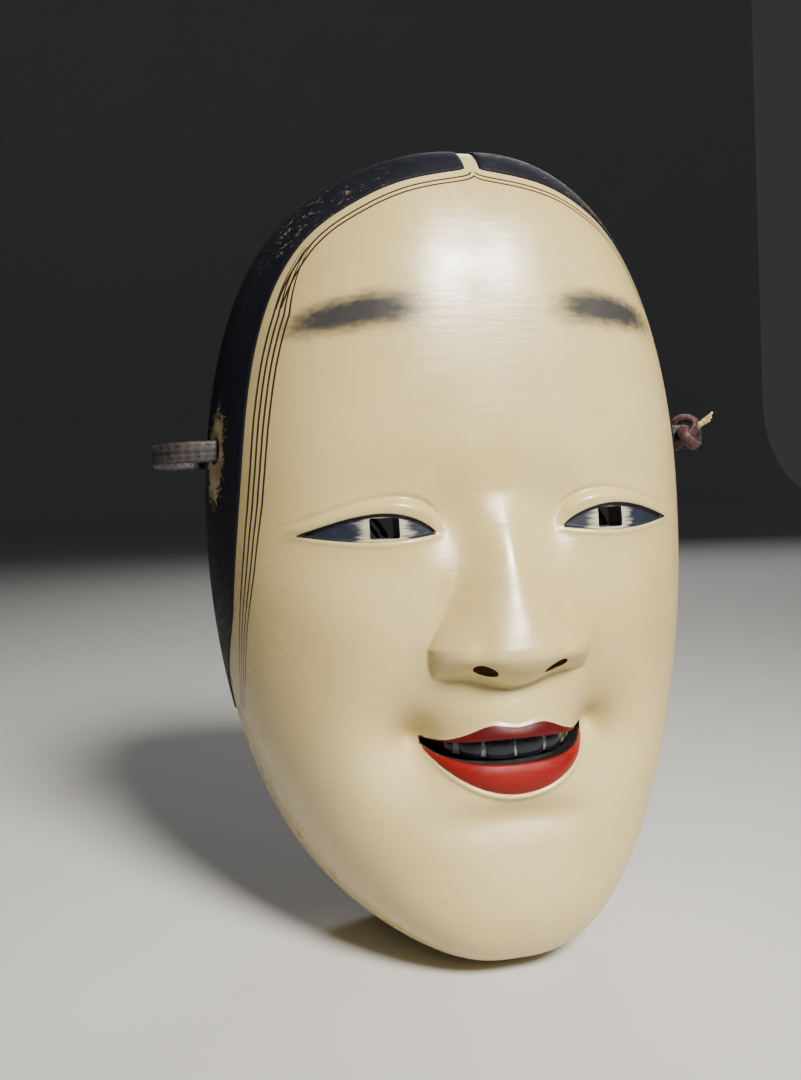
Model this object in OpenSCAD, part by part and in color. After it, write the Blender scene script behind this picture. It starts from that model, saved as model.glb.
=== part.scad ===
// Noh mask of a young woman: a carved cypress shell with its built-up coats, cords and pads.
// Upright, +Z to the crown, the face towards -Y, the flat back rim in the plane Y = 0.
// Left and right are the viewer's, so left is -X. All lengths are in millimetres.

/* [Mask] */
// Height from the chin to the crown
mask_h = 212; // [190:1:236]
// Width across the rim
mask_w = 138; // [124:1:154]
// Depth of the brow above the back rim
mask_d = 56; // [50:1:62]
// Thickness of the carved wood
wood_t = 7; // [5.5:0.5:8.5]

/* [Coats] */
// Thickness of the shell-white coat on the face
face_t = 0.8; // [0.6:0.1:1.2]
// Thickness of the black coat on the hair
hair_t = 1.2; // [0.8:0.1:1.8]
// Thickness of the pigment on the lips, teeth and eyes
pigment_t = 0.3; // [0.2:0.05:0.5]
// Thickness of the lacquer inside the hollow
lining_t = 0.6; // [0.4:0.1:1]
// Width of the parting between the two halves of the hair
parting_w = 3.4; // [2:0.2:6]

/* [Openings] */
// Width of a pupil opening
pupil_w = 7.2; // [6:0.2:9]
// Height of a pupil opening
pupil_h = 5.2; // [4.6:0.2:6.4]
// Height of the slot that runs in under the teeth
slot_h = 2; // [1.4:0.1:2.6]
// Diameter of a cord hole
hole_d = 7.4; // [7:0.2:9]

/* [Cords] */
// Width of the flat braid
cord_w = 6; // [4.8:0.2:6.4]
// Thickness of the flat braid
cord_t = 1.6; // [1.2:0.1:2]
// Distance between two turns of a hank
turn_gap = 2.6; // [2.4:0.1:3]
// Number of turns in a hank
hank_turns = 2; // [1:1:3]

/* [Hidden] */

half_h = mask_h / 2;
half_w = mask_w / 2;
kx = mask_w / 138;
kz = mask_h / 212;
kd = mask_d / 56;

// The grid that every coat and the carved wood share: columns from the middle to a side, and rows.
face_cols = 12;
hair_cols = 3;
cols = face_cols + hair_cols;
low_rows = 18;
fine_rows = 15;
high_rows = 21;
rows = low_rows + fine_rows + high_rows;
end_v = 89.7;
fine_v = [-37, -9];
hair_end_v = -24;
taper_v = -6;
inner_rows = 26;
inner_cols = 12;
past_rim = 3;

// Where the pieces lie
eye_x = 29.7 * kx;
eye_z = 7.9 * kz;
mouth_half = 22 * kx;
lip_end = 0.82;
hole_z = 30 * kz;
hole_y = -12;
hank_x = 36 * kx;
hank_y = 8;
hank_z = -26 * kz;
hank_run = 42 * kz;
hank_r = 18 * kx;
cord_sides = 8;

// ---- The shape of the mask ----

function sign_of(x) = x < 0 ? -1 : 1;
function bump(x, z, cx, cz, rx, rz) = exp(-pow((x - cx) / rx, 2) - pow((z - cz) / rz, 2));
function twin(x, z, cx, cz, rx, rz) = bump(abs(x), z, cx, cz, rx, rz);

// Half width and depth of the horizontal section at latitude v, from -90 at the chin to 90 at the crown
function section_w(v) = half_w * (1 + 0.067 * v / 90) * pow(cos(v), 0.68);
function section_d(v) =
  let (s = sin(v))
  mask_d * (1 - 0.045 * s + 0.18 * s * s - 0.2 * s * s * s) * pow(cos(v), 0.28);

// The nose and the features stand above the dome by these heights, on a face 138 wide and 212 high.
// The bridge widens down to the wings, which end in a crisp edge at the cheek and below.
function nose(x, z) =
  let (
    height = lookup(z, [
      [-33, 12], [-29, 12.3], [-25, 12.4], [-22, 12], [-18, 10.8], [-14, 9.3],
      [-8, 7.3], [0, 4.8], [8, 2.3], [16, 0.6], [24, 0]
    ]),
    width = lookup(z, [
      [-33, 19], [-29, 20], [-25, 21], [-22, 21], [-18, 19], [-14, 16.8],
      [-8, 14.2], [0, 12.2], [8, 11], [16, 10.5], [24, 10]
    ]),
    soft = lookup(z, [[-22, 0.55], [-12, 1.25], [2, 2.2]]),
    across = pow(max(0, 1 - pow(x / width, 2)), soft),
    t = min(1, abs(x) / 14),
    foot = -32.8 + 3 * t * t * (3 - 2 * t),
    below = max(0, min(1, (-23.5 - z) / (-23.5 - foot))),
    groove = below < 1 ? 1.1 * twin(x, z, 10.2, -23, 2.6, 6) : 0
  )
  max(0, height * across * pow(1 - pow(below, 1.5), 0.8) - groove);

function features(x, z) =
  nose(x, z)
  - 3 * twin(x, z, 14.5, 10, 7, 9)
  - 3 * twin(x, z, 33, 9, 21, 12)
  + 3.2 * twin(x, z, 32, 8, 14, 7.5)
  - 2 * bump(x, z, 0, 15, 9, 8)
  + 1.2 * twin(x, z, 37, -16, 15, 15)
  - 7.5 * twin(x, z, 25, -46.5, 11, 13)
  - 5 * twin(x, z, 23.5, -46.5, 5, 5.5)
  + 2 * bump(x, z, 0, -41, 13, 8)
  - 2.8 * bump(x, z, 0, -65.5, 16, 4.5)
  + 1.5 * bump(x, z, 0, -87, 16, 10);

// Half width of the bare face at height z, out to the hairline
function hairline(z) = lookup(z, [
  [-45, 64], [-25, 64.9], [-5, 64], [15, 61.8], [38, 59.3], [53, 56.4], [64, 53], [73, 49],
  [81, 43.4], [86, 37.5], [90.6, 28.5], [93, 23], [95, 16.5], [96.5, 8], [97.5, 2.5], [98, 1.7]
]);

// A point of the mask's surface at latitude v and longitude f, grown outwards by g
function skin(v, f, g) =
  let (
    x = (section_w(v) + g) * sign_of(f) * pow(abs(sin(f)), 0.67),
    d = (section_d(v) + g) * pow(max(0, cos(f)), 1.18),
    z = (half_h + g) * sin(v),
    relief = kd * features(x / kx, z / kz) * min(1, max(0, (d - 8) / 22))
  )
  [x, -d - relief, z];

// The longitude at which the surface at latitude v is x from the middle
function longitude(v, x, g) =
  asin(min(1, pow(min(1, abs(x) / (section_w(v) + g)), 1 / 0.67))) * sign_of(x);

// The surface point that is seen at x, z from the front
function front(x, z, g) =
  let (v = asin(max(-1, min(1, z / (half_h + g)))))
  skin(v, longitude(v, x, g), g);

// ---- The shared grid ----

function row_v(j) =
  j < low_rows ? -end_v + (fine_v[0] + end_v) * pow(j / low_rows, 1.9)
  : j < low_rows + fine_rows ? fine_v[0] + (fine_v[1] - fine_v[0]) * (j - low_rows) / fine_rows
  : fine_v[1] + (end_v - fine_v[1]) * (1 - pow(1 - (j - low_rows - fine_rows) / high_rows, 1.5));

// The longitude of the hair's edge at latitude v. Low on the side it runs out to the rim.
function edge_f(v) =
  let (
    x = min(section_w(v) * 0.98, max(parting_w / 2, kx * hairline(sin(v) * 106))),
    low = max(0, min(1, (taper_v - v) / (taper_v - hair_end_v)))
  )
  longitude(v, x, 0) * (1 - low * low) + 86 * low * low;

function column_f(v, i) =
  let (edge = edge_f(v), a = abs(i))
  sign_of(i) * (a <= face_cols ? edge * pow(a / face_cols, 1.25)
    : edge + (90 - edge) * (a - face_cols) / hair_cols);

function grid_point(i, j, g) = let (v = row_v(j)) skin(v, column_f(v, i), g);

// A closed sheet between two offsets, over the columns i0 to i1 and the rows j0 to j1 of the grid
module grid_sheet(i0, i1, j0, j1, g0, g1) {
  across = i1 - i0 + 1;
  up = j1 - j0 + 1;
  layer = across * up;
  points = [
    for (g = [g0, g1]) for (j = [j0:j1]) for (i = [i0:i1]) grid_point(i, j, g)
  ];
  sheet(points, across, up, layer);
}

// A closed sheet from two layers of points, each of up rows of across points
module sheet(points, across, up, layer) {
  faces = concat(
    [for (j = [0:up - 2]) for (i = [0:across - 2]) let (a = j * across + i)
      each [[a, a + 1, a + across + 1], [a, a + across + 1, a + across]]],
    [for (j = [0:up - 2]) for (i = [0:across - 2]) let (a = layer + j * across + i)
      each [[a, a + across + 1, a + 1], [a, a + across, a + across + 1]]],
    [for (i = [0:across - 2]) each [[i, layer + i, layer + i + 1], [i, layer + i + 1, i + 1]]],
    [for (i = [0:across - 2]) let (a = layer - across + i)
      each [[a, a + layer + 1, a + layer], [a, a + 1, a + layer + 1]]],
    [for (j = [0:up - 2]) let (a = j * across)
      each [[a, a + across + layer, a + layer], [a, a + across, a + across + layer]]],
    [for (j = [0:up - 2]) let (a = j * across + across - 1)
      each [[a, a + layer, a + across + layer], [a, a + across + layer, a + across]]]
  );
  polyhedron(points = points, faces = faces, convexity = 8);
}

// A closed dome from a grid of points: across columns from rim to rim, up rows, closed by its back
module dome(points, across, up) {
  last = (up - 1) * across;
  back = len(points);
  faces = concat(
    [for (j = [0:up - 2]) for (i = [0:across - 2]) let (a = j * across + i)
      each [[a, a + across + 1, a + 1], [a, a + across, a + across + 1]]],
    [for (j = [0:up - 2]) let (a = j * across) [a, back, a + across]],
    [for (j = [0:up - 2]) let (a = j * across + across - 1) [a, a + across, back]],
    [[for (i = [0:across - 1]) i], [for (i = [across - 1:-1:0]) last + i]],
    [[across - 1, back, 0], [last, back, last + across - 1]]
  );
  middle_z = (points[0].z + points[len(points) - 1].z) / 2;
  polyhedron(points = concat(points, [[0, points[0].y, middle_z]]), faces = faces, convexity = 8);
}

module outer_dome() {
  dome([for (j = [0:rows]) for (i = [-cols:cols]) grid_point(i, j, 0)], 2 * cols + 1, rows + 1);
}

// The smooth hollow inside, inset by t, whose sides run on past the rim
function hollow_point(i, j, t) =
  let (
    v = end_v * sin(180 * j / inner_rows - 90),
    f = 90 * max(-1, min(1, i / inner_cols)),
    x = (section_w(v) - t) * sign_of(f) * pow(abs(sin(f)), 0.67),
    d = (section_d(v) - t) * pow(max(0, cos(f)), 1.1),
    z = (half_h - t) * sin(v),
    into_nose = 7 * kd * bump(x / kx, z / kz, 0, -22, 9, 13),
    beside_mouth = 11 * kd * min(1, d / 20) * twin(x / kx, z / kz, 24.5, -46.5, 12, 13)
  )
  [x, abs(i) > inner_cols ? past_rim : -d - into_nose + beside_mouth, z];

module hollow(t) {
  side = inner_cols + 1;
  inside = [for (j = [0:inner_rows]) for (i = [-side:side]) hollow_point(i, j, t)];
  dome(inside, 2 * side + 1, inner_rows + 1);
}

// ---- The mouth and the eyes, as curves seen from the front ----

function lip_u(x) = min(1, abs(x) / mouth_half);
function upper_lip_low(x) = kz * (-44.9 - 1.9 * pow(lip_u(x), 2) + 1.6 * pow(lip_u(x), 9));
function upper_lip_top(x) =
  upper_lip_low(x)
  + kz * (2.5 * (1 - pow(min(1, lip_u(x) / lip_end), 2.2)) + 1.3 * exp(-pow((abs(x) / kx - 7) / 4.5, 2)));
function teeth_low(x) = kz * (-51 + 2.9 * pow(lip_u(x), 2));
function lower_lip_top(x) = kz * (-51.7 + 2.5 * pow(lip_u(x), 2.2) + 1.7 * pow(lip_u(x), 8));
function slot_top(x) = lower_lip_top(x) + slot_h * (1 - pow(lip_u(x), 4));
function lower_lip_low(x) = kz * (-59.4 + 10 * pow(lip_u(x), 1.9) + 1.6 * pow(lip_u(x), 8));

// Distance of the recess's back from the rim plane
function mouth_back(x) =
  -front(x, (upper_lip_low(x) + lower_lip_top(x)) / 2, 0).y - 6 + 3 * pow(lip_u(x), 2);

eye_in = 16.5 * kx;
eye_out = 50.5 * kx;
function eye_s(x) = max(0, min(1, (x - eye_in) / (eye_out - eye_in)));
function eye_mid(x) = kz * (6 + 0.8 * eye_s(x));
function upper_lid(x) = eye_mid(x) + kz * 5.4 * sin(180 * pow(eye_s(x), 0.75));
function lower_lid(x) = eye_mid(x) - kz * 1.9 * sin(180 * pow(eye_s(x), 0.95));

// A thin coat between two curves seen from the front, lying g above the mask's surface
module curve_coat(x0, x1, steps, across, g, t, low, high) {
  xs = [for (i = [0:steps]) x0 + (x1 - x0) * i / steps];
  points = [
    for (up = [g, g + t]) for (k = [0:across]) for (x = xs)
      front(x, low(x) + (high(x) - low(x)) * k / across, up)
  ];
  sheet(points, steps + 1, across + 1, (steps + 1) * (across + 1));
}

// A cut between two curves seen from the front, from the depth back(x) to the depth front_d
module curve_cut(x0, x1, steps, back, front_d, low, high) {
  bar_w = 0.5;
  step = (x1 - x0) / steps;
  for (i = [0:steps - 1]) {
    hull()
      for (x = [x0 + i * step, x0 + (i + 1) * step])
        translate([x - bar_w / 2, -front_d, low(x)])
          cube([bar_w, front_d - back(x), max(bar_w, high(x) - low(x))]);
  }
}

module pupil_cut(side) {
  translate([side * eye_x, -mask_d / 2 - 12, eye_z]) hull()
    for (a = [-1, 1])
      for (b = [-1, 1])
        translate([a * (pupil_w / 2 - 0.6), 0, b * (pupil_h / 2 - 0.6)])
          rotate([90, 0, 0]) cylinder(r = 0.6, h = mask_d, center = true, $fn = 16);
}

module nostril_cut(side) {
  translate([side * 8.6 * kx, -mask_d - 8.5, -28.6 * kz]) hull() {
    rotate([0, side * -15, 0]) scale([4, 2.2, 2.2]) sphere(1, $fn = 24);
    translate([0, 8.5, 6.5]) sphere(1.4, $fn = 24);
  }
}

module cord_hole(side) {
  translate([side * (half_w + 4), hole_y, hole_z]) rotate([0, side * -90, 0])
    cylinder(d = hole_d, h = 24, $fn = 32);
}

module mouth_cuts() {
  curve_cut(-mouth_half * 0.95, mouth_half * 0.95, 12, function (x) mouth_back(x), mask_d + 20,
    function (x) lower_lip_top(x), function (x) upper_lip_low(x));
  curve_cut(-mouth_half * 0.68, mouth_half * 0.68, 10, function (x) mouth_back(x) - 20, mask_d + 20,
    function (x) lower_lip_top(x), function (x) slot_top(x));
}

module cuts() {
  for (side = [-1, 1]) {
    pupil_cut(side);
    nostril_cut(side);
    cord_hole(side);
  }
  mouth_cuts();
}

// ---- The wood and its coats ----

module wood_core() {
  color("burlywood") difference() {
    outer_dome();
    hollow(wood_t);
    cuts();
  }
}

module back_lacquer() {
  color("saddlebrown") difference() {
    intersection() {
      hollow(wood_t);
      translate([-half_w, -mask_d * 1.5, -half_h]) cube([2 * half_w, mask_d * 1.5, 2 * half_h]);
    }
    hollow(wood_t + lining_t);
    cuts();
  }
}

hair_row = low_rows + ceil(fine_rows * (hair_end_v - fine_v[0]) / (fine_v[1] - fine_v[0]));

module face_coat() {
  color("antiquewhite") difference() {
    union() {
      grid_sheet(-cols, cols, 0, hair_row, 0, face_t);
      grid_sheet(-face_cols, face_cols, hair_row, rows, 0, face_t);
    }
    cuts();
  }
}

// Where the black coat has worn away in scallops round the cord hole
module worn_rim(side) {
  for (a = [0:45:315])
    hull()
      for (reach = [0, 4.2 + 1.2 * sin(3 * a)])
        translate([side * (half_w - 3), hole_y + 0.8 * reach * cos(a), hole_z + reach * sin(a)])
          sphere(r = 5.2, $fn = 20);
}

module hair_coat(side) {
  difference() {
    grid_sheet(side < 0 ? -cols : face_cols, side < 0 ? -face_cols : cols, hair_row, rows, 0, hair_t);
    worn_rim(side);
  }
}

module hair_coat_left() {
  color("#1c1d26") hair_coat(-1);
}

module hair_coat_right() {
  color("#1c1d26") hair_coat(1);
}

module eye_coat(side) {
  gap = 0.6;
  difference() {
    mirror([side < 0 ? 1 : 0, 0, 0])
      curve_coat(eye_in + gap, eye_out - gap, 18, 3, face_t, pigment_t,
        function (x) lower_lid(x), function (x) upper_lid(x));
    pupil_cut(side);
  }
}

module eye_coat_left() {
  color("slategray") eye_coat(-1);
}

module eye_coat_right() {
  color("slategray") eye_coat(1);
}

module upper_lip_coat() {
  color("firebrick")
    curve_coat(-mouth_half * lip_end * 0.9, mouth_half * lip_end * 0.9, 24, 3, face_t, pigment_t,
      function (x) upper_lip_low(x) + 0.1, function (x) upper_lip_top(x));
}

module lower_lip_coat() {
  color("crimson")
    curve_coat(-mouth_half * 0.94, mouth_half * 0.94, 24, 4, face_t, pigment_t,
      function (x) lower_lip_low(x), function (x) lower_lip_top(x) - 0.3);
}

// The blackened upper teeth stand in the recess of the mouth, behind the lips, in an arc
module teeth_coat() {
  tooth_w = 7.4 * kx;
  color("#15171d")
    for (i = [-2:2])
      let (x = i * tooth_w, top = upper_lip_low(x) - 0.4, low = teeth_low(x) + 0.2)
        translate([x, -mouth_back(x) - 1.9, (top + low) / 2]) rotate([0, 0, 13 * i]) scale([1, 0.45, 1])
          cylinder(d = tooth_w - 0.3, h = top - low, center = true, $fn = 24);
}

// ---- The cords ----

// The middle of the left braid from its inner knot, through the hole, round the rim and down to the hank
left_route = [
  [-55, -12, 30], [-60, -12, 30], [-66, -12, 30], [-71, -12, 30], [-75.9, -11, 30],
  [-80.1, -8.2, 29.9], [-82.9, -4, 29.7], [-83.9, 0.9, 29.4], [-82.9, 5.8, 29],
  [-80.1, 10, 28.7], [-75.9, 12.8, 28.5], [-71, 13.8, 28.3], [-66.5, 13.9, 27.2],
  [-62.9, 13.6, 24.4], [-60.6, 12.9, 20.4], [-59.6, 11.8, 15.6], [-59.3, 10.4, 10],
  [-59.2, 9.1, 4], [-59.2, 8.2, -1]
];
// The direction of the braid's width at each of those points
left_width = [
  for (k = [1:8]) [0, 0, 1],
  [0, 0.05, 1], [0.05, 0.1, 1], [0.1, 0.3, 1], [0.2, 0.5, 0.9], [0.3, 0.8, 0.7],
  [0.2, 1, 0.5], [0.1, 1, 0.3], [0, 1, 0.2], [0, 1, 0.1], [0, 1, 0], [0, 1, 0]
];
function mirrored(p) = [-p.x, p.y, p.z];

function unit(a) = a / norm(a);
function ring(at, along, width) =
  let (w = unit(width - along * (width * along)), n = cross(along, w))
  [for (k = [0:cord_sides - 1]) let (a = 360 * (k + 0.5) / cord_sides)
    at + w * cord_w / 2 * sign_of(cos(a)) * pow(abs(cos(a)), 0.5)
       + n * cord_t / 2 * sign_of(sin(a)) * pow(abs(sin(a)), 0.5)];

// A flat braid swept along a route, one closed tube
module braid(route, widths) {
  last = len(route) - 1;
  points = [
    for (i = [0:last])
      each ring(route[i], unit(route[min(last, i + 1)] - route[max(0, i - 1)]), widths[i])
  ];
  polyhedron(points = points, faces = concat(
    [[for (k = [0:cord_sides - 1]) k]],
    [for (i = [0:last - 1]) for (k = [0:cord_sides - 1])
      let (a = i * cord_sides + k, b = i * cord_sides + (k + 1) % cord_sides)
      each [[a, a + cord_sides, b + cord_sides], [a, b + cord_sides, b]]],
    [[for (k = [cord_sides - 1:-1:0]) last * cord_sides + k]]
  ), convexity = 6);
}

// A racetrack outline with round ends, r from its middle line
module racetrack(r) {
  hull()
    for (s = [-1, 1])
      translate([0, s * hank_run / 2]) circle(r = r, $fn = 48);
}

// The spare length, wound up flat: the outer shape of its turns
module hank(side) {
  outer = hank_r + hank_turns * turn_gap + turn_gap / 2;
  translate([side * hank_x, hank_y, hank_z]) rotate([90, 0, 0])
    linear_extrude(cord_w, center = true) difference() {
      racetrack(outer);
      racetrack(hank_r - turn_gap / 2);
    }
}

// A thread wound round the turns where the hank hangs
module hank_tie(side) {
  middle = hank_r + hank_turns * turn_gap / 2;
  thick = (hank_turns + 1) * turn_gap;
  translate([side * hank_x, hank_y, hank_z + hank_run / 2 + middle]) rotate([0, 90, 0])
    linear_extrude(5, center = true) difference() {
      offset(1.2) square([thick, cord_w], center = true);
      square([thick + 0.1, cord_w + 0.1], center = true);
    }
}

module inner_knot(side) {
  translate([side * 51 * kx, hole_y, hole_z]) scale([4, 4.2, 5])
    rotate([0, 90, 0]) sphere(1, $fn = 24);
}

// The bound end hangs inside the hank, beside its last turn
module cord_tip(side) {
  translate([side * (hank_x + hank_r - 3.2), hank_y, hank_z - 9])
    cylinder(d = 3, h = 9, center = true, $fn = 20);
}

module cord_left() {
  color("#3a2f3a") braid(left_route, left_width);
}

module cord_right() {
  color("#3a2f3a") mirror([1, 0, 0]) braid(left_route, left_width);
}

module hank_left() {
  color("#3a2f3a") hank(-1);
}

module hank_right() {
  color("#3a2f3a") hank(1);
}

module hank_tie_left() {
  color("goldenrod") hank_tie(-1);
}

module hank_tie_right() {
  color("goldenrod") hank_tie(1);
}

module inner_knot_left() {
  color("#3a2f3a") inner_knot(-1);
}

module inner_knot_right() {
  color("#3a2f3a") inner_knot(1);
}

module cord_tip_left() {
  color("goldenrod") cord_tip(-1);
}

module cord_tip_right() {
  color("goldenrod") cord_tip(1);
}

// The knot outside the right hole sits round the braid
module outer_knot_right() {
  color("#4a2430") translate([mirrored(left_route[3]).x + 1, hole_y, hole_z])
    rotate([0, 90, 0]) rotate_extrude($fn = 32)
      translate([3.6, 0]) scale([0.6, 1.2]) circle(r = 2.2, $fn = 20);
}

module knot_tail_right() {
  color("goldenrod") translate([79 * kx, hole_y - 3, hole_z + 4]) rotate([20, 60, 0])
    cylinder(d = 3.2, h = 5, center = true, $fn = 20);
}

// ---- The pads inside ----

module pad(x, z, w, h, d) {
  reach = -front_hollow(x, z).y;
  translate([x, -reach + d / 2 + 1, z]) scale([w / 2, d / 2, h / 2]) sphere(1, $fn = 28);
}

function front_hollow(x, z) =
  let (
    t = wood_t + lining_t,
    v = asin(z / (half_h - t)),
    f = asin(pow(min(1, abs(x) / (section_w(v) - t)), 1 / 0.67))
  )
  [x, -(section_d(v) - t) * pow(cos(f), 1.1), z];

module forehead_pad() {
  color("indianred") pad(0, 62 * kz, 46 * kx, 16 * kz, 11);
}

module cheek_pad_left() {
  color("indianred") pad(-30 * kx, -22 * kz, 15 * kx, 26 * kz, 10);
}

module cheek_pad_right() {
  color("indianred") pad(30 * kx, -22 * kz, 15 * kx, 26 * kz, 10);
}

wood_core();
back_lacquer();
face_coat();
hair_coat_left();
hair_coat_right();
eye_coat_left();
eye_coat_right();
upper_lip_coat();
lower_lip_coat();
teeth_coat();
cord_left();
hank_left();
hank_tie_left();
inner_knot_left();
cord_tip_left();
cord_right();
hank_right();
hank_tie_right();
inner_knot_right();
cord_tip_right();
outer_knot_right();
knot_tail_right();
forehead_pad();
cheek_pad_left();
cheek_pad_right();
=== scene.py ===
"""A noh mask of a young woman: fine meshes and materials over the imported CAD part.

Shapes are worked out in millimetres, in the part's own frame, and become metres in add_solid.
"""

import math

import bmesh
import bpy
import numpy as np
from mathutils import Matrix, Vector


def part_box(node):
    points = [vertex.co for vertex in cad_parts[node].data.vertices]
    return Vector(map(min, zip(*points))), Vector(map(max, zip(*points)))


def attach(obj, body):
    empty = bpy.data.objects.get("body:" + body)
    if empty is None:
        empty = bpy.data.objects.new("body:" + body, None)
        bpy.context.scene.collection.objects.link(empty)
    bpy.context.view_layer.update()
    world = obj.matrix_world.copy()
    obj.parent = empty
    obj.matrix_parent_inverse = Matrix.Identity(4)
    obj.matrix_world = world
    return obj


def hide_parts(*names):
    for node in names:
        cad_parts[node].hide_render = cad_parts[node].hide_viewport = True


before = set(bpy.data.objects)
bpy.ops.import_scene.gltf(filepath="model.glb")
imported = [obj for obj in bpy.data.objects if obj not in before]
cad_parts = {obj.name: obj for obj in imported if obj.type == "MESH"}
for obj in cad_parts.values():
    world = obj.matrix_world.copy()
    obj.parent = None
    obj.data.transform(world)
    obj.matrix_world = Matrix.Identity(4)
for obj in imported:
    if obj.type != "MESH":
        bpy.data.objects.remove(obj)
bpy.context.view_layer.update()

# -1 is the viewer's left
SIDES = {-1: "left", 1: "right"}
MM = 0.001
wood_low, wood_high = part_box("wood_core")
HALF_H = round((wood_high.z - wood_low.z) / 2 / MM)
HALF_W = round((wood_high.x - wood_low.x) / 2 / MM)
MASK_D = 56

FACE_T = 0.8
HAIR_T = 1.2
PIGMENT_T = 0.25
WOOD_T = 7.0
LINING_T = 0.6
PARTING_HALF = 1.7
HAIR_LOW_Z = -43
HAIR_TAPER_Z = -11

EYE_X = 29.7
EYE_Z = 7.9
EYE_IN = 16.5
EYE_OUT = 50.5
PUPIL_W = 7.2
PUPIL_H = 5.2
PUPIL_CORNER = 0.5
MOUTH_HALF = 22
LIP_END = 0.82
LIP_OVERHANG = 0.15
TEETH_HALF = 16.6
TEETH_DEEP = 3.0
TEETH_T = 2.6
TOOTH_JOINS = np.array([-14.2, -8, 0, 8, 14.2])
HOLE_D = 7.4
HOLE_Y = -12
HOLE_Z = 30

CORD_W = 6.0
CORD_T = 1.6
CORD_STEP = 0.55
TURN_GAP = 2.6
HANK_TURNS = 2
HANK_R = 18
HANK_X = 36
HANK_Y = 8
HANK_Z = -26
HANK_RUN = 42
TIP_INWARD = 3.2

# ---- Camera and lights ----

# In metres, as the frame is
LOOK_AT = Vector((0, -0.030, 0))
FLOOR_GAP = 0.002
FLOOR_FRONT = -2.5
FLOOR_HALF = 3
FLOOR_BEND = 0.5
WALL_Y = 4.6
WALL_TOP = 3.0


def direction(azimuth, elevation):
    """The way from the mask to a point in front of it, azimuth to the viewer's right."""
    a, e = math.radians(azimuth), math.radians(elevation)
    return Vector((math.sin(a) * math.cos(e), -math.cos(a) * math.cos(e), math.sin(e)))


def set_camera(azimuth, elevation, distance, yaw, pitch, roll, lens):
    ahead = -direction(azimuth + yaw, elevation + pitch)
    side = ahead.cross(Vector((0, 0, 1))).normalized()
    up = side.cross(ahead)
    turn = math.radians(roll)
    right = side * math.cos(turn) + up * math.sin(turn)
    top = up * math.cos(turn) - side * math.sin(turn)
    data = bpy.data.cameras.new("camera")
    data.sensor_fit = "VERTICAL"
    data.sensor_height = 36
    data.lens = lens
    data.clip_start = 0.01
    camera = bpy.data.objects.new("camera", data)
    camera.matrix_world = Matrix((right, top, -ahead)).transposed().to_4x4()
    camera.location = LOOK_AT + direction(azimuth, elevation) * distance
    bpy.context.scene.collection.objects.link(camera)
    bpy.context.scene.camera = camera


def add_light(name, azimuth, elevation, distance, size, power, colour, spread=180):
    data = bpy.data.lights.new(name, "AREA")
    data.shape = "DISK"
    data.size = size
    data.energy = power
    data.color = colour
    data.spread = math.radians(spread)
    light = bpy.data.objects.new(name, data)
    away = direction(azimuth, elevation)
    light.location = LOOK_AT + away * distance
    light.rotation_euler = away.to_track_quat("Z", "Y").to_euler()
    bpy.context.scene.collection.objects.link(light)


def set_stage():
    """A pale floor that curves up behind, with an even pale sky."""
    world = bpy.data.worlds.new("studio")
    world.use_nodes = True
    sky = world.node_tree.nodes["Background"].inputs
    sky["Color"].default_value = (0.86, 0.88, 0.92, 1)
    sky["Strength"].default_value = 0.045
    bpy.context.scene.world = world
    floor_z = wood_low.z - FLOOR_GAP
    bend_y = WALL_Y - FLOOR_BEND
    profile = [(FLOOR_FRONT, 0), (bend_y, 0)]
    for k in range(1, 13):
        a = math.radians(90 * k / 12)
        profile.append((bend_y + FLOOR_BEND * math.sin(a), FLOOR_BEND - FLOOR_BEND * math.cos(a)))
    profile.append((WALL_Y, WALL_TOP))
    verts = [(x, y, floor_z + z) for y, z in profile for x in (-FLOOR_HALF, FLOOR_HALF)]
    faces = [(2 * k, 2 * k + 1, 2 * k + 3, 2 * k + 2) for k in range(len(profile) - 1)]
    mesh = bpy.data.meshes.new("floor")
    mesh.from_pydata(verts, [], faces)
    mesh.polygons.foreach_set("use_smooth", [True] * len(faces))
    floor = bpy.data.objects.new("floor", mesh)
    bpy.context.scene.collection.objects.link(floor)
    paint = Paint("floor_paper")
    pale = paint.ramp(paint.noise(40, 3), [(0.0, (0.60, 0.60, 0.60)), (1.0, (0.64, 0.64, 0.635))])
    mesh.materials.append(paint.finish(pale, 0.85))


# ---- Node materials ----


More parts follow.
